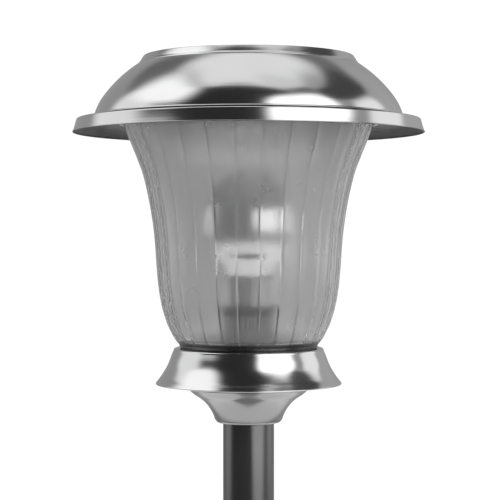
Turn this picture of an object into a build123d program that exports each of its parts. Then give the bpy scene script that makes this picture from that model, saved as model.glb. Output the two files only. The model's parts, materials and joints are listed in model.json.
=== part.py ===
from build123d import *
import os
from math import acos, asin, cos, degrees, pi, radians, sin, sqrt, tan

# A solar garden light on a ground stake: a ribbed bell shade between a polished base
# and a domed cap that holds the solar panel, the battery and the LED.
# Millimetres, +Z up, origin on the pole axis at ground level, the front towards -Y.

# ---- driving dimensions -------------------------------------------------------------
POLE_R = 11.0               # outside radius of the two pole tubes
TUBE_WALL = 0.8
FIT = 0.1                   # radial clearance of parts that slide or turn in each other

STAKE_DEPTH = 150.0         # stake tip below ground
STAKE_TOP = 6.0             # where the lower tube sits on the stake
SPIGOT_LENGTH = 40.0
LOWER_TUBE_TOP = 118.0
COLLAR_HEIGHT = 2.0         # flush ring between the two tubes
HEAD_Z = 230.0              # underside of the hub above ground

SOCKET_DEPTH = 14.0         # how far the pole goes into the hub
HUB_FOOT_R = 14.2
HUB_FLARE_R = 17.0          # radius of the hub's hollow flare
HUB_FLARE_END = 101.5       # where that arc stops under the flange, in degrees
HUB_RIM_R = 31.2
HUB_RIM_FOOT = 15.3
HUB_TOP = 17.0

RING_FOOT_R = 40.25
RING_FOOT = 15.6
RING_TOP_R = 32.3
RING_TOP = 32.0
RING_LIP = 2.7              # width of the rolled top lip
SHEET = 0.8                 # thickness of the spun steel

SEAT_R = 29.3
SEAT_FLOOR = 19.5
SEAT_TOP = 33.0

SHADE_FOOT = 35.2
SHADE_TOP = 129.7
SHADE_WALL = 2.2
SHADE_PROFILE = [           # outside radius and height, from the mouth down to the foot
    (54.6, SHADE_TOP),
    (48.3, 113.8),
    (43.2, 96.0),
    (40.6, 78.4),
    (39.2, 61.2),
    (37.1, 48.2),
    (33.9, 39.8),
    (31.4, SHADE_FOOT),
]
FLUTES = 27
FLUTE_DEPTH = 0.45          # how far the creases lie below the crests, per 50 mm of radius

BULB_R = 21.9
BULB_Z = 86.0
BULB_NECK_R = 15.0
BULB_FOOT = 50.5
BULB_WALL = 1.0
POST_R = 11.0

BASE_SCREW_R = 20.0         # the three base screws stand on this circle

CAP_Z = 131.0               # underside of the cap's tray and of the dome
DOME_ARC_R = 24.0           # lower, tighter arc of the dome
DOME_CROWN_R = 58.0         # upper, flatter arc
DOME_FOOT_R = 66.6
DOME_FOOT_ANGLE = 13.1
DOME_KNEE_ANGLE = 36.3
DOME_TOP_R = 47.4
DOME_OPENING_R = 45.0

BRIM_HOLE_R = 58.0
BRIM_SHOULDER_R = 73.2      # where the flange turns down
BRIM_SHOULDER_DROP = 0.7    # how far the flange has sloped down there
BRIM_SKIRT_R = 74.0         # top of the skirt
BRIM_BEAD_R = 0.75          # radius of the bead around the dome's foot
BRIM_R = 75.75
BRIM_HEM = 0.9              # radius of the hem at the skirt's foot
BRIM_DEPTH = 7.7            # height of the brim's skirt

TRAY_R = 64.6
TRAY_PLATE = 2.0
TRAY_SCREW_R = 40.0
TRAY_SCREW_ANGLES = (60, 180, 300)
SPIGOT_OUT_R = 48.1         # spigot under the tray, inside the shade's collar
SPIGOT_IN_R = 44.5
SPIGOT_FOOT = 126.0
COLLAR_BORE_R = 48.6
SEAL_R = 47.65
SEAL_Z = 128.6
SEAL_THICK_R = 0.85

PANEL_FLOOR = 147.0         # underside of the panel frame
PANEL_BOARD = 149.0
PANEL_LEDGE = 152.4
PANEL_R = 42.8
BEZEL_TOP = 157.4
BEZEL_R = 47.2
BEZEL_WINDOW_R = 41.2
CELL_FIELD = 56.0           # side of the square of solar cells
CELL_STRIPS = 4
CELL_GAP = 0.8

BATTERY_R = 7.1
BATTERY_LENGTH = 49.2
BATTERY_X = -0.6            # the spring's end takes a little more room
BATTERY_Y = 21.0
BATTERY_Z = 139.2
BAY_HALF_X = 26.8
BAY_HALF_Y = 7.6
BAY_WALL = 1.4
BAY_FOOT = 129.5
BAY_TOP = 144.0
STRIP_FOOT = 135.0          # the two contact strips at the bay's ends
STRIP_TOP = 142.6
DOOR_PLATE = 1.4
DOOR_SCREW_Y = 34.5

BOARD_Z = 137.0
BOARD_THICK = 1.6
SWITCH_Y = -33.0
SWITCH_TRAVEL = 3.0
LED_R = 2.5
LED_CONE_R = 10.2
WIRE_R = 0.45


# ---- helpers ------------------------------------------------------------------------
def turned(*edges):
    """The solid that a closed outline (radius, height) sweeps around the Z axis."""
    return revolve(Plane.XZ * make_face(Curve() + list(edges)), Axis.Z)


def turned_polygon(*points):
    """The same from straight sides only."""
    return turned(Polyline(*points, close=True))


def ring(inner, outer, low, high):
    """A plain round ring, or a disc where the inner radius is 0."""
    return turned_polygon((inner, low), (outer, low), (outer, high), (inner, high))


def block(x, y, low, high, centre=(0, 0)):
    """A box standing on a height, with its middle at a place in plan."""
    return Pos(centre[0], centre[1], low) * Box(x, y, high - low, align=BOX_ALIGN)


def rod(radius, low, high, centre=(0, 0)):
    """An upright cylinder."""
    return Pos(centre[0], centre[1], low) * Cylinder(radius, high - low, align=BOX_ALIGN)


def on_circle(radius, angles):
    """Places on a circle about the axis."""
    return [(radius * cos(radians(a)), radius * sin(radians(a))) for a in angles]


def arc_between(centre, radius, start, end):
    """An arc about a centre, from one angle to another."""
    at = [radians(a) for a in (start, (start + end) / 2, end)]
    return ThreePointArc(*[(centre[0] + radius * cos(a), centre[1] + radius * sin(a)) for a in at])


def end_of(edge, which):
    """The (radius, height) of an edge's start, 0, or end, 1."""
    point = edge @ which
    return (point.X, point.Y)


def pan_screw(radius, head_r, head_h, length):
    """A pan-head screw with its head's underside at the origin and the shank going up."""
    head = Pos(0, 0, -head_h) * Cylinder(head_r, head_h, align=BOX_ALIGN)
    head = fillet(head.edges().group_by(Axis.Z)[0], head_h * 0.45)
    slot = Pos(0, 0, -head_h) * Box(head_r * 1.3, head_r * 0.28, head_h * 0.8)
    cross = Rot(0, 0, 90) * slot
    tip = Pos(0, 0, length) * Cone(radius, radius * 0.4, radius, align=BOX_ALIGN)
    return head + Cylinder(radius, length, align=BOX_ALIGN) + tip - slot - cross


def wire(*points):
    """An insulated wire along a route of straight runs joined by tangent arcs."""
    runs = [Vector(*b) - Vector(*a) for a, b in zip(points, points[1:])]
    radii = []
    for first, second in zip(runs, runs[1:]):
        turn = radians(first.get_angle(second))
        radii.append(0.45 * min(first.length, second.length) / tan(turn / 2))
    path = FilletPolyline(*points, radius=radii)
    section = Plane(origin=path @ 0, z_dir=path % 0) * Circle(WIRE_R)
    return sweep(section, path=path)


BOX_ALIGN = (Align.CENTER, Align.CENTER, Align.MIN)
BORE_R = POLE_R - TUBE_WALL
SLIDE_R = BORE_R - FIT


# ---- pole and stake -----------------------------------------------------------------
def ground_stake():
    fin_top = -6.0
    fin_r = POLE_R - 0.4
    fin = Plane.XZ * make_face(Polyline(
        (-fin_r, fin_top), (-fin_r * 0.7, -STAKE_DEPTH * 0.75), (0, -STAKE_DEPTH),
        (fin_r * 0.7, -STAKE_DEPTH * 0.75), (fin_r, fin_top), close=True))
    blade = extrude(fin, 1.5, both=True)
    collar = ring(0, POLE_R - 0.2, fin_top, STAKE_TOP)
    spigot = rod(SLIDE_R, STAKE_TOP, STAKE_TOP + SPIGOT_LENGTH)
    spigot = chamfer(spigot.edges().group_by(Axis.Z)[-1], 1.5)
    hollow = rod(SLIDE_R - 2.2, STAKE_TOP + 4, STAKE_TOP + SPIGOT_LENGTH)
    return blade + Rot(0, 0, 90) * blade + collar + spigot - hollow


def tube(low, high):
    return ring(BORE_R, POLE_R, low, high)


def tube_coupler():
    top = LOWER_TUBE_TOP + COLLAR_HEIGHT
    below = 28.0
    return turned_polygon(
        (BORE_R - 2.4, LOWER_TUBE_TOP - below), (BORE_R, LOWER_TUBE_TOP - below),
        (BORE_R, LOWER_TUBE_TOP), (POLE_R - 0.2, LOWER_TUBE_TOP), (POLE_R - 0.2, top),
        (SLIDE_R, top), (SLIDE_R, top + below - 1.5), (SLIDE_R - 1.5, top + below),
        (BORE_R - 2.4, top + below))


def swivel_plug():
    flange_top = SOCKET_DEPTH + 1.5
    plug = turned_polygon(
        (0, -6), (SLIDE_R - 1.5, -6), (SLIDE_R, -4.5), (SLIDE_R, SOCKET_DEPTH),
        (POLE_R - 0.1, SOCKET_DEPTH), (POLE_R - 0.1, flange_top), (4.0, flange_top),
        (4.0, SEAT_FLOOR - 0.5), (0, SEAT_FLOOR - 0.5))
    return plug - rod(SLIDE_R - 2.5, -6, SOCKET_DEPTH - 3)


# ---- base of the head ---------------------------------------------------------------
def hub():
    flare_centre = (HUB_FOOT_R + HUB_FLARE_R - 0.3, HUB_TOP - 3.3 - HUB_FLARE_R)
    start = 180 - degrees(asin((1.2 - flare_centre[1]) / HUB_FLARE_R))
    flare = arc_between(flare_centre, HUB_FLARE_R, start, HUB_FLARE_END)
    foot = flare @ 0
    rim = flare @ 1
    body = turned(
        Line((POLE_R + FIT, 0), (foot.X - 1.4, 0)),
        TangentArc((foot.X - 1.4, 0), (foot.X, foot.Y), tangent=(1, 0)),
        flare,
        Polyline((rim.X, rim.Y), (rim.X, HUB_RIM_FOOT), (HUB_RIM_R, HUB_RIM_FOOT),
                 (HUB_RIM_R, HUB_TOP), (4.0 + FIT, HUB_TOP),
                 (4.0 + FIT, SOCKET_DEPTH + 1.7), (POLE_R + FIT, SOCKET_DEPTH + 1.7),
                 (POLE_R + FIT, 0)))
    for place in on_circle(BASE_SCREW_R, (90, 210, 330)):
        body -= rod(1.5, 11.5, HUB_TOP + 1, place)
    return body


def ring_outline(inset):
    """The hollow sweep of the base ring's side, or its inner face at an inset."""
    lip = (RING_TOP_R - inset, RING_TOP - 0.9)
    waist = (34.95 - inset, 24.6)
    foot = (RING_FOOT_R - 0.35 - inset, RING_FOOT + 1.5)
    return ThreePointArc(lip, waist, foot)


def base_ring():
    outer = ring_outline(0)
    inner = ring_outline(SHEET)
    top = (RING_TOP_R - 0.9, RING_TOP)
    hem = (RING_FOOT_R - 0.9, RING_FOOT)
    return turned(
        outer,
        TangentArc(outer @ 1, hem, tangent=outer % 1),
        Line(hem, end_of(inner, 1)),
        inner,
        Polyline(end_of(inner, 0), (RING_TOP_R - RING_LIP, RING_TOP - 1.1),
                 (RING_TOP_R - RING_LIP, RING_TOP), top),
        TangentArc(top, end_of(outer, 0), tangent=(1, 0)))


def shade_seat():
    cup = turned_polygon(
        (4.0 + FIT, HUB_TOP), (SEAT_R, HUB_TOP), (SEAT_R, 29.4), (SEAT_R + 1.7, 29.4),
        (SEAT_R + 1.7, RING_TOP - 1.1), (SEAT_R, RING_TOP - 1.1), (SEAT_R, SEAT_TOP),
        (SEAT_R - 2.1, SEAT_TOP), (SEAT_R - 2.1, SEAT_FLOOR), (4.0 + FIT, SEAT_FLOOR))
    for place in on_circle(BASE_SCREW_R, (90, 210, 330)):
        cup -= rod(1.7, HUB_TOP - 1, SEAT_FLOOR + 1, place)
    return cup


def base_screws():
    screw = Rot(180, 0, 0) * pan_screw(1.45, 2.8, 1.9, 8.0)
    return Part() + [Pos(x, y, SEAT_FLOOR + 2) * screw
                     for x, y in on_circle(BASE_SCREW_R, (90, 210, 330))]


def bulb_socket():
    post = turned_polygon(
        (POST_R - 2, SEAT_FLOOR), (24, SEAT_FLOOR), (24, SEAT_FLOOR + 2),
        (POST_R, SEAT_FLOOR + 2), (POST_R, 47), (POST_R + 1.6, 48), (POST_R + 1.6, BULB_FOOT),
        (POST_R - 0.8, BULB_FOOT), (POST_R - 0.8, 58), (POST_R - 2, 58))
    for place in on_circle(BASE_SCREW_R, (90, 210, 330)):
        post -= rod(1.7, SEAT_FLOOR - 1, SEAT_FLOOR + 3, place)
    return post


def bulb_outline(inset):
    """Globe and neck of the bulb-shaped reflector, from its top down to its foot."""
    join_angle = -32
    globe = arc_between((0, BULB_Z), BULB_R - inset, 90, join_angle)
    neck = Spline(globe @ 1, (BULB_NECK_R - inset, 62.5), (POST_R + 0.6 - inset, BULB_FOOT),
                  tangents=(globe % 1, (-0.35, -1)))
    return globe, neck


def bulb_reflector():
    globe, neck = bulb_outline(0)
    inner_globe, inner_neck = bulb_outline(BULB_WALL)
    return turned(
        globe, neck,
        Line((POST_R + 0.6, BULB_FOOT), (POST_R + 0.6 - BULB_WALL, BULB_FOOT)),
        inner_neck, inner_globe,
        Line((0, BULB_Z + BULB_R - BULB_WALL), (0, BULB_Z + BULB_R)))


# ---- shade --------------------------------------------------------------------------
def flute_section(radius, height):
    """A closed line of equal arcs that meet in creases."""
    crease_r = radius * (1 - FLUTE_DEPTH / 50)
    step = 2 * pi / FLUTES
    arcs = []
    for i in range(FLUTES):
        middle = -pi / 2 + i * step
        at = [(crease_r, middle - step / 2), (radius, middle), (crease_r, middle + step / 2)]
        arcs.append(ThreePointArc(*[(r * cos(a), r * sin(a)) for r, a in at]))
    return Pos(0, 0, height) * make_face(Curve() + arcs)


def shade():
    body = loft([flute_section(r, z) for r, z in reversed(SHADE_PROFILE)])
    inner = [(r - SHADE_WALL, z) for r, z in SHADE_PROFILE]
    curve = Spline(*inner)
    top, foot = inner[0], inner[-1]
    hollow = turned(
        curve,
        Polyline(foot, (foot[0], foot[1] - 1), (0, foot[1] - 1), (0, top[1] + 1),
                 (top[0], top[1] + 1), top))
    return body - hollow


def shade_gasket():
    top = SHADE_FOOT
    return turned_polygon(
        (SEAT_R - 1.0, SEAT_TOP), (SEAT_R + 0.4, SEAT_TOP), (SEAT_R + 1.5, top),
        (SEAT_R - 0.8, top))


def shade_collar():
    flange = 1.2
    return turned_polygon(
        (COLLAR_BORE_R, 125.6), (COLLAR_BORE_R + 1.2, 125.6), (COLLAR_BORE_R + 1.2, SHADE_TOP),
        (54.8, SHADE_TOP), (54.8, 128.3), (56.0, 128.3), (56.0, SHADE_TOP + flange),
        (COLLAR_BORE_R, SHADE_TOP + flange))


def cap_seal():
    return Pos(0, 0, SEAL_Z) * Torus(SEAL_R, SEAL_THICK_R)


# ---- cap ----------------------------------------------------------------------------
def dome_outline(inset, top_z):
    """The dome's two arcs from foot to crown, at an inset, up to a height."""
    low = (DOME_FOOT_R - DOME_ARC_R * cos(radians(DOME_FOOT_ANGLE)),
           CAP_Z - DOME_ARC_R * sin(radians(DOME_FOOT_ANGLE)))
    start = degrees(asin((CAP_Z - low[1]) / (DOME_ARC_R - inset)))
    back = DOME_CROWN_R - DOME_ARC_R
    high = (low[0] - back * cos(radians(DOME_KNEE_ANGLE)),
            low[1] - back * sin(radians(DOME_KNEE_ANGLE)))
    if top_z is None:
        end = degrees(acos((DOME_TOP_R - high[0]) / DOME_CROWN_R))
    else:
        end = degrees(asin((top_z - high[1]) / (DOME_CROWN_R - inset)))
    side = arc_between(low, DOME_ARC_R - inset, start, DOME_KNEE_ANGLE)
    crown = arc_between(high, DOME_CROWN_R - inset, DOME_KNEE_ANGLE, end)
    return side, crown


DOME_TOP = (dome_outline(0, None)[1] @ 1).Y


def dome_cap():
    side, crown = dome_outline(0, None)
    inner_side, inner_crown = dome_outline(SHEET, DOME_TOP - SHEET)
    return turned(
        side, crown,
        Polyline(end_of(crown, 1), (DOME_OPENING_R, DOME_TOP),
                 (DOME_OPENING_R, DOME_TOP - SHEET), end_of(inner_crown, 1)),
        inner_crown, inner_side,
        Line(end_of(inner_side, 0), end_of(side, 0)))


def brim_ring():
    """Flat flange under the dome, a bead around the dome's foot, then a sloping skirt with a hem."""
    bead = (DOME_FOOT_R + 0.1 + BRIM_BEAD_R, CAP_Z + 0.35)
    bead_in = bead[0] - BRIM_BEAD_R
    bead_out = bead[0] + BRIM_BEAD_R
    shoulder_z = CAP_Z - BRIM_SHOULDER_DROP
    shoulder = (BRIM_SHOULDER_R, shoulder_z)
    turn = (BRIM_SKIRT_R - 0.2, shoulder_z - 0.22)
    skirt_top = (BRIM_SKIRT_R, shoulder_z - 0.8)
    foot = CAP_Z - BRIM_DEPTH
    hem_turn = BRIM_HEM * (1 - sqrt(0.5))
    skirt_foot = (BRIM_R, foot + BRIM_HEM)
    hem_low = (BRIM_R - BRIM_HEM, foot)
    hem_in = (BRIM_R - BRIM_HEM - 0.55, foot + 0.45)
    hem_top = (BRIM_R - SHEET, foot + BRIM_HEM + 0.5)
    inner_top = (BRIM_SKIRT_R - SHEET, shoulder_z - 1.3)
    inner_turn = (BRIM_SKIRT_R - SHEET - 0.3, shoulder_z - 0.98)
    inner_flange = (BRIM_SHOULDER_R - SHEET, shoulder_z - SHEET)
    return turned(
        Polyline((BRIM_HOLE_R, CAP_Z), (bead_in, CAP_Z), (bead_in, bead[1])),
        arc_between(bead, BRIM_BEAD_R, 180, 0),
        Polyline((bead_out, bead[1]), (bead_out, CAP_Z), shoulder),
        ThreePointArc(shoulder, turn, skirt_top),
        Line(skirt_top, skirt_foot),
        ThreePointArc(skirt_foot, (BRIM_R - hem_turn, foot + hem_turn), hem_low),
        Polyline(hem_low, hem_in, hem_top, inner_top),
        ThreePointArc(inner_top, inner_turn, inner_flange),
        Polyline(inner_flange, (bead[0], CAP_Z - SHEET), (BRIM_HOLE_R, CAP_Z - SHEET),
                 (BRIM_HOLE_R, CAP_Z)))


def top_bezel():
    foot_z = DOME_TOP + 0.05
    face_top = (BEZEL_R - 0.6, BEZEL_TOP - 1.1)
    flat = (BEZEL_R - 2.2, BEZEL_TOP)
    return turned(
        Line((45.8, foot_z), (BEZEL_R, foot_z)),
        Line((BEZEL_R, foot_z), face_top),
        TangentArc(flat, face_top, tangent=(1, 0)),
        Polyline(flat, (BEZEL_WINDOW_R + 0.4, BEZEL_TOP), (BEZEL_WINDOW_R, BEZEL_TOP - 0.4),
                 (BEZEL_WINDOW_R, BEZEL_TOP - 1.2), (45.8, BEZEL_TOP - 1.2), (45.8, foot_z)))


def panel_frame():
    """A cup hung in the dome's opening, with a ledge for the glass and three bosses."""
    wall_r = DOME_OPENING_R - 0.3
    cup = turned_polygon(
        (0, PANEL_FLOOR), (wall_r, PANEL_FLOOR), (wall_r, DOME_TOP), (45.6, DOME_TOP),
        (45.6, DOME_TOP + 0.9), (PANEL_R + 0.2, DOME_TOP + 0.9), (PANEL_R + 0.2, PANEL_LEDGE),
        (41.0, PANEL_LEDGE), (41.0, PANEL_BOARD), (0, PANEL_BOARD))
    for place in on_circle(TRAY_SCREW_R, TRAY_SCREW_ANGLES):
        cup += rod(3.5, 140, PANEL_FLOOR + 0.5, place)
        cup -= rod(1.5, 139, PANEL_FLOOR - 0.6, place)
    for x in (-5, 5):
        cup -= rod(0.9, PANEL_FLOOR - 1, PANEL_BOARD + 1, (x, -31))
    return cup


def panel_seal():
    return ring(41.0, PANEL_R, PANEL_LEDGE, PANEL_LEDGE + 0.6)


def panel_glass():
    glass = ring(0, PANEL_R, PANEL_LEDGE + 0.6, BEZEL_TOP - 1.3)
    return chamfer(glass.edges().group_by(Axis.Z)[-1], 0.3)


def panel_board():
    return ring(0, 40.7, PANEL_BOARD, PANEL_BOARD + 1.6)


def solar_cells():
    pitch = CELL_FIELD / CELL_STRIPS
    low = PANEL_BOARD + 1.6
    places = [(i + 0.5) * pitch - CELL_FIELD / 2 for i in range(CELL_STRIPS)]
    return Part() + [block(pitch - CELL_GAP, CELL_FIELD, low, low + 0.5, (x, 0)) for x in places]


def light_sensor():
    low = PANEL_BOARD + 1.6
    return rod(2.6, low, low + 1.3, (34.5, 0))


def cap_tray():
    plate_top = CAP_Z + TRAY_PLATE
    tray = ring(0, TRAY_R, CAP_Z, plate_top)
    groove = SEAL_THICK_R + 0.1
    tray += turned_polygon(
        (SPIGOT_IN_R, SPIGOT_FOOT), (SPIGOT_OUT_R, SPIGOT_FOOT), (SPIGOT_OUT_R, SEAL_Z - groove),
        (SEAL_R - groove, SEAL_Z - groove), (SEAL_R - groove, SEAL_Z + groove),
        (SPIGOT_OUT_R, SEAL_Z + groove), (SPIGOT_OUT_R, CAP_Z), (SPIGOT_IN_R, CAP_Z))
    bay = (0, BATTERY_Y)
    tray += block(2 * (BAY_HALF_X + BAY_WALL), 2 * (BAY_HALF_Y + BAY_WALL), BAY_FOOT, BAY_TOP, bay)
    tray -= block(2 * BAY_HALF_X, 2 * BAY_HALF_Y, BAY_FOOT - 1, BAY_TOP + 1, bay)
    tray += rod(3.0, BAY_FOOT, plate_top + 3, (0, DOOR_SCREW_Y))
    tray -= rod(1.5, BAY_FOOT - 1, plate_top + 2, (0, DOOR_SCREW_Y))
    for place in on_circle(TRAY_SCREW_R, TRAY_SCREW_ANGLES):
        tray += rod(3.5, plate_top, 140, place)
        tray -= rod(1.8, CAP_Z - 1, 141, place)
    for x in (-18, 18):
        tray += rod(2.6, plate_top, BOARD_Z, (x, -22))
        tray -= rod(1.1, plate_top + 0.5, BOARD_Z + 1, (x, -22))
    tray -= rod(3.4, CAP_Z - 1, plate_top + 1)
    tray -= block(10, 4.2, CAP_Z - 1, plate_top + 1, (0, SWITCH_Y))
    return tray


def tray_screws():
    screw = pan_screw(1.45, 2.9, 1.9, 13.0)
    return Part() + [Pos(x, y, CAP_Z) * screw for x, y in on_circle(TRAY_SCREW_R, TRAY_SCREW_ANGLES)]


def battery():
    half = BATTERY_LENGTH / 2
    cell = fillet(Cylinder(BATTERY_R, BATTERY_LENGTH).edges(), 0.6)
    nub = Pos(0, 0, half) * Cylinder(2.7, 1.2, align=BOX_ALIGN)
    return Pos(BATTERY_X, BATTERY_Y, BATTERY_Z) * Rot(0, 90, 0) * (cell + nub)


def battery_contact():
    """Flat strip against the bay's end wall at the battery's nub."""
    return block(0.5, 7, STRIP_FOOT, STRIP_TOP, (BAY_HALF_X - 0.25, BATTERY_Y))


def battery_spring():
    """Bent leaf that presses on the battery's flat end."""
    back = -BAY_HALF_X
    front = back + 0.4
    tip = BATTERY_X - BATTERY_LENGTH / 2 - 0.05
    outline = Polyline(
        (back, STRIP_FOOT), (front, STRIP_FOOT), (front, BATTERY_Z - 2.6),
        (tip, BATTERY_Z - 0.4), (tip, BATTERY_Z + 0.4), (front, BATTERY_Z + 2.6),
        (front, STRIP_TOP), (back, STRIP_TOP), close=True)
    return Pos(0, BATTERY_Y, 0) * extrude(Plane.XZ * make_face(outline), 3.5, both=True)


def battery_door():
    high = BAY_FOOT - 0.2
    low = high - DOOR_PLATE
    plate = block(2 * (BAY_HALF_X + 2.2), 2 * (BAY_HALF_Y + 2.2), low, high, (0, BATTERY_Y))
    plate = fillet(plate.edges().filter_by(Axis.Z), 2.0)
    lug = rod(4.2, low, high, (0, DOOR_SCREW_Y))
    lug += block(8.4, 5, low, high, (0, DOOR_SCREW_Y - 2.5))
    rib = block(2 * BAY_HALF_X - 1.2, 2 * BAY_HALF_Y - 1.2, high - 0.2, high + 1.6, (0, BATTERY_Y))
    rib -= block(2 * BAY_HALF_X - 3.6, 2 * BAY_HALF_Y - 3.6, high, high + 3, (0, BATTERY_Y))
    grips = [block(16, 0.8, low - 0.6, low, (0, BATTERY_Y + y)) for y in (-4, -2, 0, 2, 4)]
    door = plate + lug + rib + grips
    return door - rod(1.6, low - 1, high + 1, (0, DOOR_SCREW_Y))


def door_screw():
    low = BAY_FOOT - 0.2 - DOOR_PLATE
    return Pos(0, DOOR_SCREW_Y, low) * pan_screw(1.2, 2.6, 1.6, 4.6)


def circuit_board():
    board = block(44, 31, BOARD_Z, BOARD_Z + BOARD_THICK, (0, -11.5))
    for x in (-18, 18):
        board -= rod(1.3, BOARD_Z - 1, BOARD_Z + 3, (x, -22))
    for x in (-1.27, 1.27):
        board -= rod(0.45, BOARD_Z - 1, BOARD_Z + 3, (x, 0))
    return board


def board_screws():
    screw = Rot(180, 0, 0) * pan_screw(1.05, 2.2, 1.4, 3.2)
    return Part() + [Pos(x, -22, BOARD_Z + BOARD_THICK) * screw for x in (-18, 18)]


def board_parts():
    """Coil, capacitor, chip and two resistors standing on the circuit board."""
    low = BOARD_Z + BOARD_THICK
    coil = rod(4.0, low, low + 0.8, (-12, -8)) + rod(2.6, low, low + 4.2, (-12, -8))
    coil += rod(4.0, low + 4.2, low + 5.0, (-12, -8))
    capacitor = fillet(rod(2.5, low, low + 6.5, (12, -8)).edges().group_by(Axis.Z)[-1], 0.5)
    chip = block(6, 5, low, low + 1.6, (0, -12))
    resistors = [block(1.6, 6, low, low + 1.4, (x, -21)) for x in (-6, 8)]
    return Part() + [coil, capacitor, chip, *resistors]


def led():
    dome_z = CAP_Z - 2.6
    body = rod(LED_R, dome_z, CAP_Z + 3.0) + Pos(0, 0, dome_z) * Sphere(LED_R)
    flange = rod(LED_R + 0.4, CAP_Z + 2.2, CAP_Z + 3.0)
    legs = [rod(0.3, CAP_Z + 2.8, BOARD_Z + BOARD_THICK + 1, (x, 0)) for x in (-1.27, 1.27)]
    return body + flange + legs


def led_cone():
    """Thin bright cone under the tray that throws the light down."""
    return turned_polygon(
        (3.6, CAP_Z), (4.8, CAP_Z), (LED_CONE_R, SPIGOT_FOOT + 0.6), (LED_CONE_R, SPIGOT_FOOT),
        (LED_CONE_R - 0.8, SPIGOT_FOOT))


def switch_body():
    top = CAP_Z + TRAY_PLATE
    box = block(14, 8, top, top + 5.5, (0, SWITCH_Y))
    return box - block(9, 4.2, top - 1, top + 4, (0, SWITCH_Y))


def switch_knob():
    low = CAP_Z - 1.6
    x = -SWITCH_TRAVEL / 2
    knob = block(4, 3.4, low, CAP_Z + TRAY_PLATE + 3.4, (x, SWITCH_Y))
    knob = fillet(knob.edges().group_by(Axis.Z)[0], 0.5)
    grip = block(0.7, 3.6, low + 0.6, low + 1.2, (x, SWITCH_Y))
    return knob - grip


def panel_lead(x):
    """From the panel board down through the frame's floor to the circuit board."""
    end = (x * 0.84, -24)
    return wire((x, -31, PANEL_BOARD), (x, -31, 143.8), (*end, 142.4),
                (*end, BOARD_Z + BOARD_THICK))


def battery_lead(side):
    """From a battery strip over the bay's side wall to the circuit board."""
    start = (side * (BAY_HALF_X - 0.5), BATTERY_Y - 2.5)
    end = (side * 19, 1)
    return wire((*start, STRIP_TOP), (*start, 145.8), (*end, 145.2), (*end, BOARD_Z + BOARD_THICK))


# ---- every node ---------------------------------------------------------------------
POLE_NODES = {
    "ground_stake": ground_stake(),
    "lower_tube": tube(STAKE_TOP, LOWER_TUBE_TOP),
    "tube_coupler": tube_coupler(),
    "upper_tube": tube(LOWER_TUBE_TOP + COLLAR_HEIGHT, HEAD_Z + SOCKET_DEPTH),
}
HEAD_NODES = {
    "swivel_plug": swivel_plug(),
    "hub": hub(),
    "base_ring": base_ring(),
    "shade_seat": shade_seat(),
    "base_screws": base_screws(),
    "bulb_socket": bulb_socket(),
    "bulb_reflector": bulb_reflector(),
    "shade_gasket": shade_gasket(),
    "shade": shade(),
    "shade_collar": shade_collar(),
    "cap_seal": cap_seal(),
    "dome_cap": dome_cap(),
    "brim_ring": brim_ring(),
    "top_bezel": top_bezel(),
    "panel_frame": panel_frame(),
    "panel_seal": panel_seal(),
    "panel_glass": panel_glass(),
    "panel_board": panel_board(),
    "solar_cells": solar_cells(),
    "light_sensor": light_sensor(),
    "cap_tray": cap_tray(),
    "tray_screws": tray_screws(),
    "battery": battery(),
    "battery_contact": battery_contact(),
    "battery_spring": battery_spring(),
    "battery_door": battery_door(),
    "door_screw": door_screw(),
    "circuit_board": circuit_board(),
    "board_screws": board_screws(),
    "board_parts": board_parts(),
    "led": led(),
    "led_cone": led_cone(),
    "switch_body": switch_body(),
    "switch_knob": switch_knob(),
    "panel_lead_red": panel_lead(5),
    "panel_lead_black": panel_lead(-5),
    "battery_lead_red": battery_lead(1),
    "battery_lead_black": battery_lead(-1),
}

os.makedirs("parts", exist_ok=True)
for name, shape in POLE_NODES.items():
    export_step(shape, f"parts/{name}.step")
for name, shape in HEAD_NODES.items():
    export_step(Pos(0, 0, HEAD_Z) * shape, f"parts/{name}.step")
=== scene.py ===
import json
import math

import bmesh
import bpy
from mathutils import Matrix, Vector


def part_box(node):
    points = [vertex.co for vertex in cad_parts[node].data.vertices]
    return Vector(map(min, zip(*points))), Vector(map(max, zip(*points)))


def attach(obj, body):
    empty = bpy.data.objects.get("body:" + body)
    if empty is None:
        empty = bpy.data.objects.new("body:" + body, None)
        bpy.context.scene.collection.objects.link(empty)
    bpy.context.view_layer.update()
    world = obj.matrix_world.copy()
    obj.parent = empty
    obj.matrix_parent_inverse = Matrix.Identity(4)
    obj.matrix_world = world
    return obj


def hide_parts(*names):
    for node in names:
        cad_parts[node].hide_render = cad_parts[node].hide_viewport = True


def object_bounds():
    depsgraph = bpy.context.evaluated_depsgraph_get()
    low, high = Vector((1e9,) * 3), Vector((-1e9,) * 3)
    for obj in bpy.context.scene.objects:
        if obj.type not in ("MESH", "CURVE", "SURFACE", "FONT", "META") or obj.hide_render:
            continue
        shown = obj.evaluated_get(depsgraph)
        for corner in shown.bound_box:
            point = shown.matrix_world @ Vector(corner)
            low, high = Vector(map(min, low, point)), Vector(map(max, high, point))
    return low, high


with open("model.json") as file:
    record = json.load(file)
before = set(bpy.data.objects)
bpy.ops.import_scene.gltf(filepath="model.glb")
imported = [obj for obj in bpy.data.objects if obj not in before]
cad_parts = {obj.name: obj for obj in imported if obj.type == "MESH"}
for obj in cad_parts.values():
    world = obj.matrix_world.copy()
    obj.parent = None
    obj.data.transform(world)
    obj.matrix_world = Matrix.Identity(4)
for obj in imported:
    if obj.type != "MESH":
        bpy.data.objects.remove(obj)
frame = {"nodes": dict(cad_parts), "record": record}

# A solar garden light. The pieces below stand for the CAD nodes whose surface matters most:
# spun steel shells, fluted glass, the silvered bulb shape, the hub, the seal and the pole.
# Outlines are (radius, height) in millimetres, with heights above the underside of the hub
# unless they say otherwise. Every other node keeps its CAD shape and gets a material.

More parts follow.
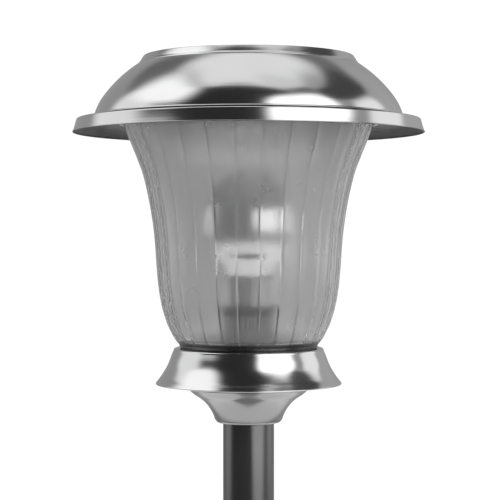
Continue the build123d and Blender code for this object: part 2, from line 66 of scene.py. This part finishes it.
CAD_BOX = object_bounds()
MM = 0.001
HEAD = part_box("hub")[0].z
AROUND = 288                # segments around a turned piece
SHARP = math.radians(38)    # edges sharper than this stay crisp
ON_AXIS = 1e-6              # a radius below this is a point on the axis


# ---- outlines -------------------------------------------------------------------------------
def arc(centre, radius, start, end, steps=12):
    """Points of an arc, angles in degrees."""
    out = []
    for i in range(steps + 1):
        a = math.radians(start + (end - start) * i / steps)
        out.append((centre[0] + radius * math.cos(a), centre[1] + radius * math.sin(a)))
    return out


def spline(points, steps=10):
    """A smooth line through a few points (Catmull-Rom with mirrored ends)."""
    p = [Vector(q) for q in points]
    p = [2 * p[0] - p[1], *p, 2 * p[-1] - p[-2]]
    out = []
    for i in range(1, len(p) - 2):
        a, b, c, d = p[i - 1:i + 3]
        for k in range(steps):
            t = k / steps
            q = 2 * b + (c - a) * t + (2 * a - 5 * b + 4 * c - d) * t ** 2
            q += (3 * b - a - 3 * c + d) * t ** 3
            out.append((q.x / 2, q.y / 2))
    return [*out, tuple(p[-2])]


def rounded(points, radius, steps=4):
    """A closed outline with every corner rounded, as far as its sides leave room."""
    out = []
    for i, q in enumerate(points):
        here = Vector(q)
        back = Vector(points[i - 1]) - here
        ahead = Vector(points[(i + 1) % len(points)]) - here
        cut = min(radius, 0.45 * back.length, 0.45 * ahead.length)
        first = here + back.normalized() * cut
        last = here + ahead.normalized() * cut
        for k in range(steps + 1):
            t = k / steps
            out.append(tuple((1 - t) ** 2 * first + 2 * t * (1 - t) * here + t * t * last))
    return out


# ---- meshes ---------------------------------------------------------------------------------
def add_mesh(name, verts, faces, tags=None):
    """A new object from points in metres, with closed-up seams and outward faces. The tags are
    each face's material number."""
    mesh = bpy.data.meshes.new(name)
    mesh.from_pydata(verts, [], faces)
    if tags:
        mesh.polygons.foreach_set("material_index", tags)
    bm = bmesh.new()
    bm.from_mesh(mesh)
    bmesh.ops.remove_doubles(bm, verts=bm.verts, dist=2e-7)
    bmesh.ops.recalc_face_normals(bm, faces=bm.faces)
    bm.to_mesh(mesh)
    bm.free()
    mesh.polygons.foreach_set("use_smooth", [True] * len(mesh.polygons))
    mesh.set_sharp_from_angle(angle=SHARP)
    piece = bpy.data.objects.new(name, mesh)
    bpy.context.scene.collection.objects.link(piece)
    return piece


def turned(name, outline, base=HEAD):
    """A closed outline swept around the pole's axis, with heights above the base in metres."""
    verts, faces = [], []
    n = len(outline)
    for j in range(AROUND):
        angle = 2 * math.pi * (j + 0.5) / AROUND
        for r, h in outline:
            verts.append((r * MM * math.cos(angle), r * MM * math.sin(angle), base + h * MM))
    for j in range(AROUND):
        k = (j + 1) % AROUND
        for i in range(n):
            m = (i + 1) % n
            ring = [j * n + i, j * n + m, k * n + m, k * n + i]
            if outline[i][0] < ON_AXIS and outline[m][0] < ON_AXIS:
                continue
            if outline[i][0] < ON_AXIS:
                ring = ring[:3]
            elif outline[m][0] < ON_AXIS:
                ring = [ring[0], ring[1], ring[3]]
            faces.append(ring)
    return add_mesh(name, verts, faces)


def place(piece, body, slot, material, *nodes):
    """Gives a piece its material and body, and hides the CAD nodes it stands for."""
    piece.data.materials.append(material)
    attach(piece, body)
    if nodes:
        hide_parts(*nodes)
    return piece


# ---- materials ------------------------------------------------------------------------------
class Finish:
    """A Principled material with layers of procedural variation."""

    def __init__(self, name, colour, roughness, metallic=0.0, **sockets):
        self.material = bpy.data.materials.new(name)
        self.material.use_nodes = True
        self.tree = self.material.node_tree
        self.shader = self.tree.nodes["Principled BSDF"]
        self.colour = colour
        self.last_bump = None
        self.shader.inputs["Base Color"].default_value = (*colour, 1)
        self.shader.inputs["Roughness"].default_value = roughness
        self.shader.inputs["Metallic"].default_value = metallic
        for key, value in sockets.items():
            self.shader.inputs[key.replace("_", " ")].default_value = value

    def node(self, kind, **values):
        made = self.tree.nodes.new(kind)
        for key, value in values.items():
            setattr(made, key, value)
        return made

    def link(self, out, into):
        self.tree.links.new(out, into)

    def place_vector(self, stretch):
        """Object coordinates, stretched along the axes."""
        coordinate = self.node("ShaderNodeTexCoord")
        mapping = self.node("ShaderNodeMapping")
        mapping.inputs["Scale"].default_value = stretch
        self.link(coordinate.outputs["Object"], mapping.inputs["Vector"])
        return mapping.outputs["Vector"]

    def noise(self, scale, stretch=(1, 1, 1), detail=3.0):
        texture = self.node("ShaderNodeTexNoise")
        texture.inputs["Scale"].default_value = scale
        texture.inputs["Detail"].default_value = detail
        self.link(self.place_vector(stretch), texture.inputs["Vector"])
        return texture.outputs["Fac"]

    def between(self, value, low, high, start=0.3, stop=0.7):
        """Maps a value's middle range to low and high."""
        span = self.node("ShaderNodeMapRange")
        span.inputs["From Min"].default_value = start
        span.inputs["From Max"].default_value = stop
        span.inputs["To Min"].default_value = low
        span.inputs["To Max"].default_value = high
        self.link(value, span.inputs["Value"])
        return span.outputs["Result"]

    def rough(self, low, high, scale):
        """Roughness that wanders between two values."""
        value = self.between(self.noise(scale), low, high)
        self.link(value, self.shader.inputs["Roughness"])
        return self

    def tint(self, other, scale, start=0.35, stop=0.75):
        """Colour that wanders towards another one."""
        mix = self.node("ShaderNodeMix", data_type="RGBA")
        factor = self.between(self.noise(scale, detail=4.0), 0, 1, start, stop)
        self.link(factor, mix.inputs["Factor"])
        mix.inputs["A"].default_value = (*self.colour, 1)
        mix.inputs["B"].default_value = (*other, 1)
        self.link(mix.outputs["Result"], self.shader.inputs["Base Color"])
        return self

    def bump(self, scale, strength, distance, stretch=(1, 1, 1), detail=3.0):
        """Fine relief. Each call adds to the one before."""
        made = self.node("ShaderNodeBump")
        made.inputs["Strength"].default_value = strength
        made.inputs["Distance"].default_value = distance
        self.link(self.noise(scale, stretch, detail), made.inputs["Height"])
        if self.last_bump:
            self.link(self.last_bump, made.inputs["Normal"])
        self.last_bump = made.outputs["Normal"]
        self.link(self.last_bump, self.shader.inputs["Normal"])
        return self


SPUN = (3, 3, 900)          # stretches a noise into fine rings around the axis


def polished_steel():
    made = Finish("Polished steel", (0.66, 0.66, 0.66), 0.15, 1.0)
    made.tint((0.6, 0.6, 0.605), 14, start=0.4, stop=0.8)
    made.rough(0.12, 0.19, 30)
    made.bump(4, 0.05, 0.0002, SPUN, 2.0)
    made.bump(60, 0.03, 0.0003)
    return made.material


def dull_steel_painted_shade():
    """Dull steel for the inside of the spun shells and the gap under the dome. The roughness is the
    steel's own; its very dark colour is painted shade.
    """
    made = Finish("Dull steel, painted shade", (0.14, 0.14, 0.14), 0.45, 0.9)
    made.tint((0.1, 0.1, 0.1), 50)
    made.rough(0.38, 0.52, 80)
    made.bump(12, 0.08, 0.0002, SPUN, 2.0)
    return made.material


def satin_metal():
    made = Finish("Satin cast metal", (0.33, 0.33, 0.33), 0.22, 0.75)
    made.tint((0.3, 0.3, 0.302), 40)
    made.rough(0.2, 0.27, 60)
    made.bump(2600, 0.1, 0.00005)
    return made.material


def dark_tube():
    made = Finish("Charcoal tube", (0.155, 0.155, 0.157), 0.24, 0.75)
    made.tint((0.125, 0.125, 0.127), 30)
    made.rough(0.2, 0.28, 45)
    made.bump(900, 0.05, 0.0001)
    return made.material


def glass_outside():
    made = Finish("Fluted glass, outside", (0.99, 0.99, 0.99), 0.06, 0.0,
                  Transmission_Weight=0.93, IOR=1.47, Specular_IOR_Level=0.8)
    made.rough(0.04, 0.08, 50)
    return made.material


def glass_inside():
    made = Finish("Fluted glass, frosted inside", (0.96, 0.96, 0.96), 0.3, 0.0,
                  Transmission_Weight=0.88, IOR=1.47)
    made.rough(0.27, 0.33, 120)
    return made.material


def clear_glass():
    made = Finish("Panel glass", (0.95, 0.97, 0.97), 0.02, 0.0, Transmission_Weight=1.0, IOR=1.5)
    made.rough(0.01, 0.05, 50)
    made.bump(30, 0.03, 0.0002)
    return made.material


def silver_mirror():
    made = Finish("Silvered", (0.93, 0.93, 0.93), 0.17, 0.72)
    made.tint((0.89, 0.89, 0.895), 60)
    made.rough(0.14, 0.2, 70)
    made.bump(90, 0.05, 0.0004)
    return made.material


def moulded(name, colour, other, roughness, grain=0.1):
    """Moulded plastic or rubber with a fine grain."""
    made = Finish(name, colour, roughness)
    made.tint(other, 90)
    made.rough(roughness - 0.07, roughness + 0.07, 150)
    made.bump(3200, grain, 0.00008)
    made.bump(220, 0.04, 0.0003)
    return made.material


def glossy_seal():
    """The dark, slightly glossy ring under the glass."""
    made = Finish("Glossy dark seal", (0.13, 0.13, 0.13), 0.28, 0.85)
    made.tint((0.17, 0.17, 0.17), 90)
    made.rough(0.22, 0.34, 150)
    made.bump(1500, 0.04, 0.00006)
    return made.material


def plated(name, colour, other, roughness):
    """Plated small metal parts with faint scratches."""
    made = Finish(name, colour, roughness, 1.0)
    made.tint(other, 500)
    made.rough(roughness - 0.06, roughness + 0.1, 900)
    made.bump(700, 0.08, 0.00005, (1, 6, 1))
    return made.material


FINGER_SPACING = 0.00589    # between the silver lines on the solar cells


def solar_cell():
    """Dark blue silicon with crystal flakes and fine silver finger lines across the strips."""
    made = Finish("Solar cell", (0.008, 0.016, 0.07), 0.18, 0.0, Coat_Weight=0.6, Coat_Roughness=0.05)
    flakes = made.node("ShaderNodeTexVoronoi")
    flakes.inputs["Scale"].default_value = 260
    made.link(made.place_vector((1, 1, 0)), flakes.inputs["Vector"])
    crystal = made.node("ShaderNodeMix", data_type="RGBA")
    crystal.inputs["A"].default_value = (0.006, 0.012, 0.05, 1)
    crystal.inputs["B"].default_value = (0.016, 0.035, 0.14, 1)
    made.link(flakes.outputs["Color"], crystal.inputs["Factor"])
    lines = made.node("ShaderNodeTexWave", wave_type="BANDS", bands_direction="Y")
    lines.inputs["Scale"].default_value = 2 * math.pi / 20 / FINGER_SPACING
    made.link(made.place_vector((1, 1, 1)), lines.inputs["Vector"])
    finger = made.between(lines.outputs["Fac"], 0, 1, 0.93, 0.98)
    silver = made.node("ShaderNodeMix", data_type="RGBA")
    silver.inputs["B"].default_value = (0.45, 0.46, 0.47, 1)
    made.link(finger, silver.inputs["Factor"])
    made.link(crystal.outputs["Result"], silver.inputs["A"])
    made.link(silver.outputs["Result"], made.shader.inputs["Base Color"])
    made.rough(0.15, 0.25, 200)
    return made.material


def circuit_green():
    """Solder mask with a faint pattern of copper runs under it."""
    made = Finish("Circuit board", (0.012, 0.12, 0.045), 0.3, 0.0, Coat_Weight=0.3)
    runs = made.node("ShaderNodeTexBrick")
    runs.inputs["Scale"].default_value = 190
    runs.inputs["Mortar Size"].default_value = 0.03
    runs.inputs["Color1"].default_value = (0.012, 0.12, 0.045, 1)
    runs.inputs["Color2"].default_value = (0.016, 0.14, 0.05, 1)
    runs.inputs["Mortar"].default_value = (0.05, 0.3, 0.1, 1)
    made.link(made.place_vector((1, 1, 1)), runs.inputs["Vector"])
    made.link(runs.outputs["Color"], made.shader.inputs["Base Color"])
    made.rough(0.25, 0.38, 160)
    made.bump(600, 0.06, 0.0001)
    return made.material


MATERIALS = {
    "polished_steel": polished_steel(),
    "dull_steel_painted_shade": dull_steel_painted_shade(),
    "satin_metal": satin_metal(),
    "dark_tube": dark_tube(),
    "ribbed_glass": glass_outside(),
    "clear_glass": clear_glass(),
    "silver_mirror": silver_mirror(),
    "black_plastic": moulded("Black plastic", (0.022, 0.022, 0.022), (0.034, 0.034, 0.033), 0.45),
    "grey_plastic": moulded("Grey plastic", (0.58, 0.58, 0.58), (0.52, 0.52, 0.52), 0.42),
    "seal_rubber": glossy_seal(),
    "screw_steel": plated("Zinc plated screws", (0.55, 0.55, 0.54), (0.42, 0.42, 0.41), 0.3),
    "contact_metal": plated("Nickel contacts", (0.62, 0.6, 0.55), (0.5, 0.48, 0.43), 0.25),
    "solar_cell": solar_cell(),
    "white_board": moulded("White panel board", (0.62, 0.63, 0.61), (0.7, 0.71, 0.7), 0.35, 0.04),
    "green_board": circuit_green(),
    "part_black": moulded("Component black", (0.02, 0.02, 0.022), (0.05, 0.05, 0.052), 0.4),
    "sensor_face": moulded("Sensor ceramic", (0.6, 0.42, 0.28), (0.5, 0.2, 0.1), 0.5),
    "battery_wrap": moulded("Battery wrap", (0.03, 0.16, 0.07), (0.04, 0.19, 0.085), 0.25, 0.03),
    "led_resin": moulded("LED resin", (0.82, 0.82, 0.76), (0.88, 0.88, 0.83), 0.12, 0.02),
    "red_wire": moulded("Red insulation", (0.42, 0.02, 0.018), (0.5, 0.035, 0.03), 0.4),
    "black_wire": moulded("Black insulation", (0.015, 0.015, 0.015), (0.03, 0.03, 0.03), 0.4),
}

SLOTS = {s["node"]: s["material_slot"] for s in frame["record"]["subparts"]}
for node, piece in frame["nodes"].items():
    for held in piece.material_slots:
        held.material = MATERIALS[SLOTS[node]]


def make(name, outline, node, body, **more):
    """A turned piece in place of a CAD node, in that node's slot."""
    piece = turned(name, outline, **more)
    return place(piece, body, SLOTS[node], MATERIALS[SLOTS[node]], node)


def paint_shade_on(piece, shaded_too):
    """Paints shade: faces that face inwards or down, and those the second argument picks by radius
    and height, get the dull steel whose dark colour is painted shade.
    """
    piece.data.materials.append(MATERIALS["dull_steel_painted_shade"])
    for face in piece.data.polygons:
        radial = Vector((face.center.x, face.center.y, 0)).normalized()
        away = face.normal.dot(radial)
        radius, height = face.center.dot(radial) / MM, (face.center.z - HEAD) / MM
        if away < -0.1 or face.normal.z < -0.3 or shaded_too(radius, height):
            face.material_index = 1


# ---- cap ------------------------------------------------------------------------------------
SHEET = 0.8
TRAY = (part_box("dome_cap")[0].z - HEAD) / MM      # level of the dome's foot
FLANGE = TRAY - 0.4                               # top of the brim's flange
DOME_LOW, DOME_R = (43.2, TRAY - 5.45), 24.0      # centre and radius of the lower arc
DOME_HIGH, CROWN_R = (15.8, TRAY - 25.55), 58.0   # and of the crown's arc


def dome_shell():
    """Two arcs over a small fillet and a rolled lip, with a gap under it that is darkened with
    painted shade.
    """
    top = (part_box("dome_cap")[1].z - HEAD) / MM
    start, fillet_r = 15.4, 0.6
    turn = math.radians(start)
    fillet = arc((DOME_LOW[0] + (DOME_R + fillet_r) * math.cos(turn),
                  DOME_LOW[1] + (DOME_R + fillet_r) * math.sin(turn)), fillet_r,
                 262, 180 + start, 10)
    lip = arc((67.7, TRAY + 0.28), 0.2, -90, 90, 8)
    outer = lip + fillet + arc(DOME_LOW, DOME_R, start, 36.3, 24)[1:]
    outer += arc(DOME_HIGH, CROWN_R, 36.3, 56.6, 24)[1:]
    inner = arc(DOME_LOW, DOME_R - 2.2, start, 36.3, 16)
    inner += arc(DOME_HIGH, CROWN_R - SHEET, 36.3, 56.0, 16)[1:]
    rim = [(46.9, top - 0.04), (45.2, top), (45.0, top - 0.2), (45.0, top - SHEET)]
    foot = [(66.9, TRAY + 0.1), (65.6, TRAY + 0.1), (65.6, FLANGE - 0.3),
            (64.6, FLANGE - 0.3)]
    shell = make("dome_shell", outer + rim + inner[::-1] + foot[::-1], "dome_cap", "cap")
    # The foot below the lip and the shell's inside get painted shade.
    paint_shade_on(shell, lambda radius, height: height < TRAY + 0.1)


def brim():
    """Flange, rolled shoulder and flared skirt with a hem."""
    low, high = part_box("brim_ring")
    radius = (high.x - low.x) / 2 / MM
    foot = (low.z - HEAD) / MM
    shoulder = arc((73.4, FLANGE - 0.95), 0.6, 80, 14, 8)
    skirt = spline([shoulder[-1], (74.41, FLANGE - 2.4), (74.88, FLANGE - 4.05),
                    (radius - 0.36, foot + 1.65)], 6)[1:]
    hem = arc((radius - 0.3, foot + 1.42), 0.22, 50, -90, 10)
    roll = arc((radius - 0.62, foot + 1.5), 0.3, -90, -230, 10)
    under = [(radius - 0.95, foot + 2.2), (73.2, FLANGE - 1.9), (72.9, FLANGE - 1.5),
             (72.2, FLANGE - 1.2)]
    flat = [(58.4, FLANGE - SHEET), (58.0, FLANGE - 0.6), (58.0, FLANGE - 0.5),
            (58.3, FLANGE - 0.3)]
    gap = [(68.0, FLANGE - 0.3), (69.2, FLANGE - 0.05)]
    shell = make("brim_shell", gap + shoulder + skirt + hem + roll + under + flat,
                 "brim_ring", "cap")
    # The flange inside 70.5 mm, in the gap under the dome, and the brim's underside get painted
    # shade.
    paint_shade_on(shell, lambda radius, height: radius < 70.5)


def bezel():
    """The ring around the panel, with a small cove at its foot."""
    low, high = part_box("top_bezel")
    foot, top = (low.z - HEAD) / MM, (high.z - HEAD) / MM
    lip = [(47.55, foot - 0.32), (47.5, foot - 0.1), (47.32, foot + 0.15), (47.1, foot + 0.42),
           (46.9, foot + 0.66), (46.78, foot + 0.86)]
    side = lip + arc((45.0, top - 0.5), 0.5, 34, 88, 8)
    outline = [(45.8, foot)] + side
    outline += [(41.7, top), (41.3, top - 0.15), (41.2, top - 0.5), (41.2, top - 1.2),
                (45.8, top - 1.2)]
    return make("bezel_ring", outline, "top_bezel", "cap")


# ---- base -----------------------------------------------------------------------------------
def base_ring():
    """A flared cup with a rolled rim and a rounded hem."""
    low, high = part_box("base_ring")
    foot, top = (low.z - HEAD) / MM, (high.z - HEAD) / MM
    r = (high.x - low.x) / 2 / MM
    side = spline([(32.35, top - 0.9), (33.3, top - 3.2), (34.95, 24.6), (37.5, 20.3),
                   (r - 0.95, foot + 2.5), (r - 0.12, foot + 1.4)], 10)
    hem = arc((r - 0.4, foot + 1.25), 0.33, 10, -150, 12)
    inside = spline([(38.2, 17.8), (36.6, 20.1), (34.1, 24.6), (31.6, top - 1.7)], 8)
    lip = [(30.2, top - 1.3)] + arc((29.85, top - 0.75), 0.6, 260, 110, 8)
    roll = arc((31.45, top - 0.9), 0.9, 90, 15, 8)
    return make("flared_ring", side + hem + inside + lip + roll, "base_ring", "head")


def hub():
    """A small trumpet: a rounded foot, and a flare that runs up under the base ring."""
    top = (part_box("hub")[1].z - HEAD) / MM
    foot_r, flare_r = 14.2, 17.0
    centre = (foot_r + flare_r - 0.3, 13.7 - flare_r)
    start = 180 - math.degrees(math.asin((1.3 - centre[1]) / flare_r))
    flare = arc(centre, flare_r, start, 118, 28) + [(24.7, 13.1), (26.9, 15.2)]
    foot = arc((12.9, 1.25), 1.25, -90, -2, 8)
    bore = 11.1
    outline = [(bore, 0.4), (bore + 0.4, 0.0)] + foot + flare
    outline += [(27.1, 15.3), (31.2, 15.3), (31.2, top), (4.1, top),
                (4.1, top - 1.3), (bore, top - 1.3)]
    return make("trumpet_hub", outline, "hub", "head")


def gasket():
    """The dark ring under the glass, which leans out to meet it."""
    foot = (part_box("shade_gasket")[0].z - HEAD) / MM
    outline = rounded([(28.0, foot - 0.6), (29.6, foot - 0.6), (29.9, foot + 0.6),
                       (31.2, foot + 2.2), (29.2, foot + 2.2)], 0.25)
    return make("glass_gasket", outline, "shade_gasket", "head")


# ---- glass and bulb -------------------------------------------------------------------------
FLUTES = 27
SHADE_FOOT = (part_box("shade")[0].z - HEAD) / MM
SHADE_TOP = (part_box("shade")[1].z - HEAD) / MM
SHADE_LINE = [
    (54.6, SHADE_TOP), (51.5, 121.6), (48.3, 113.8), (45.6, 106.3), (43.2, 96.0), (41.5, 86.0),
    (40.5, 77.0), (39.8, 67.0), (39.0, 58.5), (37.7, 50.8), (35.7, 43.8), (33.4, 38.6),
    (31.4, SHADE_FOOT),
]
GLASS_WALL = 2.2


def flute(r, angle, wall=0.0):
    """The glass's radius: gently rounded panels that meet in fine grooves on the outside."""
    step = 2 * math.pi / FLUTES
    u = abs((angle + math.pi / 2) / step - round((angle + math.pi / 2) / step)) * 2
    dip = 0.007 * r * u * u
    if wall:
        return max(r - wall - dip, 29.4)
    return r - dip - 0.28 * math.exp(-((1 - u) / 0.09) ** 2)


def shade():
    """A closed wall that is fluted on both sides and frosted on the inside."""
    line = spline(SHADE_LINE, 8)
    spread = [-1 + 0.04 * i for i in (0, 1, 2, 4, 7, 12, 18, 25)]
    across = sorted({round(s, 4) for s in spread} | {round(-s, 4) for s in spread})[:-1]
    step = 2 * math.pi / FLUTES
    angles = [-math.pi / 2 + step * (k + u / 2) for k in range(FLUTES) for u in across]
    verts, faces, tags = [], [], []
    n = len(line)
    for a in angles:
        outside = [(flute(r, a), h) for r, h in line]
        inside = [(flute(r, a, GLASS_WALL), h) for r, h in line[::-1]]
        for r, h in outside + inside:
            verts.append((r * MM * math.cos(a), r * MM * math.sin(a), HEAD + h * MM))
    total = 2 * n
    for j in range(len(angles)):
        k = (j + 1) % len(angles)
        for i in range(total):
            m = (i + 1) % total
            faces.append([j * total + i, j * total + m, k * total + m, k * total + i])
            tags.append(0 if i < n - 1 or i == total - 1 else 1)
    piece = add_mesh("fluted_shade", verts, faces, tags)
    place(piece, "head", "ribbed_glass", MATERIALS["ribbed_glass"], "shade")
    piece.data.materials.append(glass_inside())
    return piece


CROWN_RISE = 1.6            # how much taller than a ball the bulb's upper half is


def bulb():
    """A thin silvered globe whose cone ends in a slim neck."""
    low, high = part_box("bulb_reflector")
    foot, top = (low.z - HEAD) / MM, (high.z - HEAD) / MM
    r = (high.x - low.x) / 2 / MM
    middle = top - r - CROWN_RISE
    stretch = 1.0 + CROWN_RISE / r
    globe = [(x, middle + (h - middle) * (stretch if h > middle else 1.0))
             for x, h in arc((0, middle), r, 90, -32, 48)]
    neck = spline([globe[-1], (16.5, 70.0), (14.8, 66.4), (13.4, 63.2), (12.9, 60.0),
                   (12.35, 55.5), (11.8, foot)], 8)[1:]
    wall = 1.0
    outside = globe + neck
    inside = [(max(x - wall, 0.0), h - wall * (h - middle) / r if h > middle else h)
              for x, h in outside]
    inside[0] = (0.0, top - wall)
    outside[0] = (0.0, top)
    return make("bulb_shape", outside + inside[::-1], "bulb_reflector", "head")


# ---- pole -----------------------------------------------------------------------------------
POLE_R = 11.0
POLE_WALL = 0.8


def tube(name, node, body):
    """A pole tube with softly broken ends. Its heights are above the ground."""
    low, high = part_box(node)
    foot, top = low.z / MM, high.z / MM
    outline = rounded([(POLE_R - POLE_WALL, foot), (POLE_R, foot), (POLE_R, top),
                       (POLE_R - POLE_WALL, top)], 0.3)
    return make(name, outline, node, body, base=0.0)


# ---- light, floor and camera ----------------------------------------------------------------
EYE = 0.3105                # height of the camera above the ground
DISTANCE = 0.686            # from the camera to the pole's axis
FLOOR_R = 1.6
FLOOR_SIDES = 96
FLOOR_GAP = 0.0005          # between the stake's tip and the floor


def camera():
    """A long lens a little below the cap, which sees the head and the pole's upper end."""
    data = bpy.data.cameras.new("Camera")
    data.lens = 114.5
    data.sensor_width = 36
    data.shift_x = 0.0028
    data.shift_y = -0.0295
    data.clip_start, data.clip_end = 0.01, 50
    made = bpy.data.objects.new("Camera", data)
    made.location = (0, -DISTANCE, EYE)
    made.rotation_euler = (math.pi / 2, 0, 0)
    bpy.context.scene.collection.objects.link(made)
    bpy.context.scene.camera = made


class Sky:
    """The studio as a world: soft panels given by their compass and height angles."""

    def __init__(self):
        world = bpy.data.worlds.new("Studio")
        bpy.context.scene.world = world
        world.use_nodes = True
        self.tree = world.node_tree
        self.tree.nodes.clear()
        direction = self.add("ShaderNodeTexCoord").outputs["Generated"]
        split = self.add("ShaderNodeSeparateXYZ")
        self.tree.links.new(direction, split.inputs[0])
        x, y, z = split.outputs
        self.azimuth = self.maths("MULTIPLY", self.maths("ARCTAN2", x, self.maths("MULTIPLY", y, -1)),
                                  180 / math.pi)
        self.height = self.maths("MULTIPLY", self.maths("ARCSINE", z), 180 / math.pi)
        self.total = None

    def add(self, kind, **values):
        made = self.tree.nodes.new(kind)
        for key, value in values.items():
            setattr(made, key, value)
        return made

    def maths(self, operation, *inputs):
        made = self.add("ShaderNodeMath", operation=operation)
        for socket, value in zip(made.inputs, inputs):
            if isinstance(value, (int, float)):
                socket.default_value = value
            else:
                self.tree.links.new(value, socket)
        return made.outputs[0]

    def panel(self, centre, half, brightness, soft=0.2, corner=4.0):
        """Blends a lit panel with rounded corners and soft edges over what is there. Centre and
        half size are compass and height angles in degrees."""
        parts = []
        for value, middle, size in zip((self.azimuth, self.height), centre, half):
            away = self.maths("MODULO", self.maths("ADD", value, 540 - middle), 360)
            away = self.maths("ABSOLUTE", self.maths("SUBTRACT", away, 180))
            parts.append(self.maths("POWER", self.maths("DIVIDE", away, size), corner))
        reach = self.maths("POWER", self.maths("ADD", *parts), 1 / corner)
        edge = self.add("ShaderNodeMapRange", interpolation_type="SMOOTHSTEP")
        edge.inputs["From Min"].default_value = 1 + soft
        edge.inputs["From Max"].default_value = 1 - soft
        self.tree.links.new(reach, edge.inputs["Value"])
        inside = edge.outputs["Result"]
        keep = self.maths("MULTIPLY", self.total, self.maths("SUBTRACT", 1.0, inside))
        self.total = self.maths("ADD", keep, self.maths("MULTIPLY", inside, brightness))

    def finish(self, seen):
        """Strength for light and reflections, and what the camera sees behind the object."""
        path = self.add("ShaderNodeLightPath")
        both = self.add("ShaderNodeMix", data_type="FLOAT")
        self.tree.links.new(path.outputs["Is Camera Ray"], both.inputs["Factor"])
        self.tree.links.new(self.total, both.inputs["A"])
        both.inputs["B"].default_value = seen
        background = self.add("ShaderNodeBackground")
        background.inputs["Color"].default_value = (1, 1, 1, 1)
        self.tree.links.new(both.outputs["Result"], background.inputs["Strength"])
        output = self.add("ShaderNodeOutputWorld")
        self.tree.links.new(background.outputs["Background"], output.inputs["Surface"])


def studio():
    """A pale room with softboxes at both sides and a dark end behind the camera."""
    sky = Sky()
    sky.total = sky.maths("ADD", 0.0, 0.48)
    sky.panel((-155, 5), (50, 45), 0.36, 0.3)           # behind, on the left
    sky.panel((-142, 45), (17, 11), 0.16, 0.35)         # dark corners high up behind
    sky.panel((151, 49), (22, 7), 0.18, 0.4)
    sky.panel((0, 90), (300, 22), 1.07, 0.25, 8)        # overhead panel
    sky.panel((180, 76), (62, 18), 1.07, 0.3)           # and its slope behind
    sky.panel((62, 75), (28, 11), 0.9, 0.3)             # its front corner on the right
    sky.panel((105, 46), (33, 11), 0.07, 0.2)           # dim upper right
    sky.panel((82, -14), (30, 20), 0.12, 0.3)           # dim lower right
    sky.panel((-60, -14), (35, 20), 0.12, 0.3)          # dim lower left
    sky.panel((0, -90), (300, 56), 1.25, 0.12, 8)       # pale floor
    sky.panel((-11, 20), (66, 56), 0.03, 0.1, 2.6)      # the dark room behind the camera
    sky.panel((62, 57), (16, 6), 0.2, 0.5)              # faint patch above the softbox
    sky.panel((83, 12), (13, 22), 0.34, 0.35)           # faint strip beside the softbox
    sky.panel((107, 12.5), (17, 20), 1.15, 0.2)         # white wall on the right
    sky.panel((44.2, 20), (31.2, 31), 1.9, 0.16, 3.3)   # softbox to the right
    sky.panel((-104, 16), (21, 25), 1.06, 0.3)          # low panel on the left
    sky.panel((-90, 48), (33, 15.5), 1.45, 0.35, 3)     # softbox to the left
    sky.finish(1.05)


def floor():
    """A pale round floor under the stake's tip that fades out into the white. It is clear from
    below."""
    level = CAD_BOX[0].z - FLOOR_GAP
    verts = [(0, 0, level)]
    faces = []
    for i in range(FLOOR_SIDES):
        a = 2 * math.pi * i / FLOOR_SIDES
        verts.append((FLOOR_R * math.cos(a), FLOOR_R * math.sin(a), level))
        faces.append([0, 1 + i, 1 + (i + 1) % FLOOR_SIDES])
    piece = add_mesh("floor", verts, faces)
    if piece.data.polygons[0].normal.z < 0:
        piece.data.flip_normals()
    made = Finish("Floor", (0.8, 0.8, 0.8), 0.9, Emission_Color=(1, 1, 1, 1),
                  Emission_Strength=0.7)
    distance = made.node("ShaderNodeVectorMath", operation="LENGTH")
    made.link(made.place_vector((1, 1, 0)), distance.inputs[0])
    fade = made.between(distance.outputs["Value"], 1, 0, 0.42, 0.75)
    above = made.node("ShaderNodeMath", operation="SUBTRACT")
    above.inputs[0].default_value = 1.0
    made.link(made.node("ShaderNodeNewGeometry").outputs["Backfacing"], above.inputs[1])
    shown = made.node("ShaderNodeMath", operation="MULTIPLY")
    made.link(fade, shown.inputs[0])
    made.link(above.outputs[0], shown.inputs[1])
    made.link(shown.outputs[0], made.shader.inputs["Alpha"])
    piece.data.materials.append(made.material)


camera()
studio()
floor()
dome_shell()
brim()
bezel()
base_ring()
hub()
gasket()
shade()
bulb()
tube("lower_pole_tube", "lower_tube", "lower_pole")
tube("upper_pole_tube", "upper_tube", "upper_pole")

bpy.context.scene.view_settings.view_transform = "Standard"
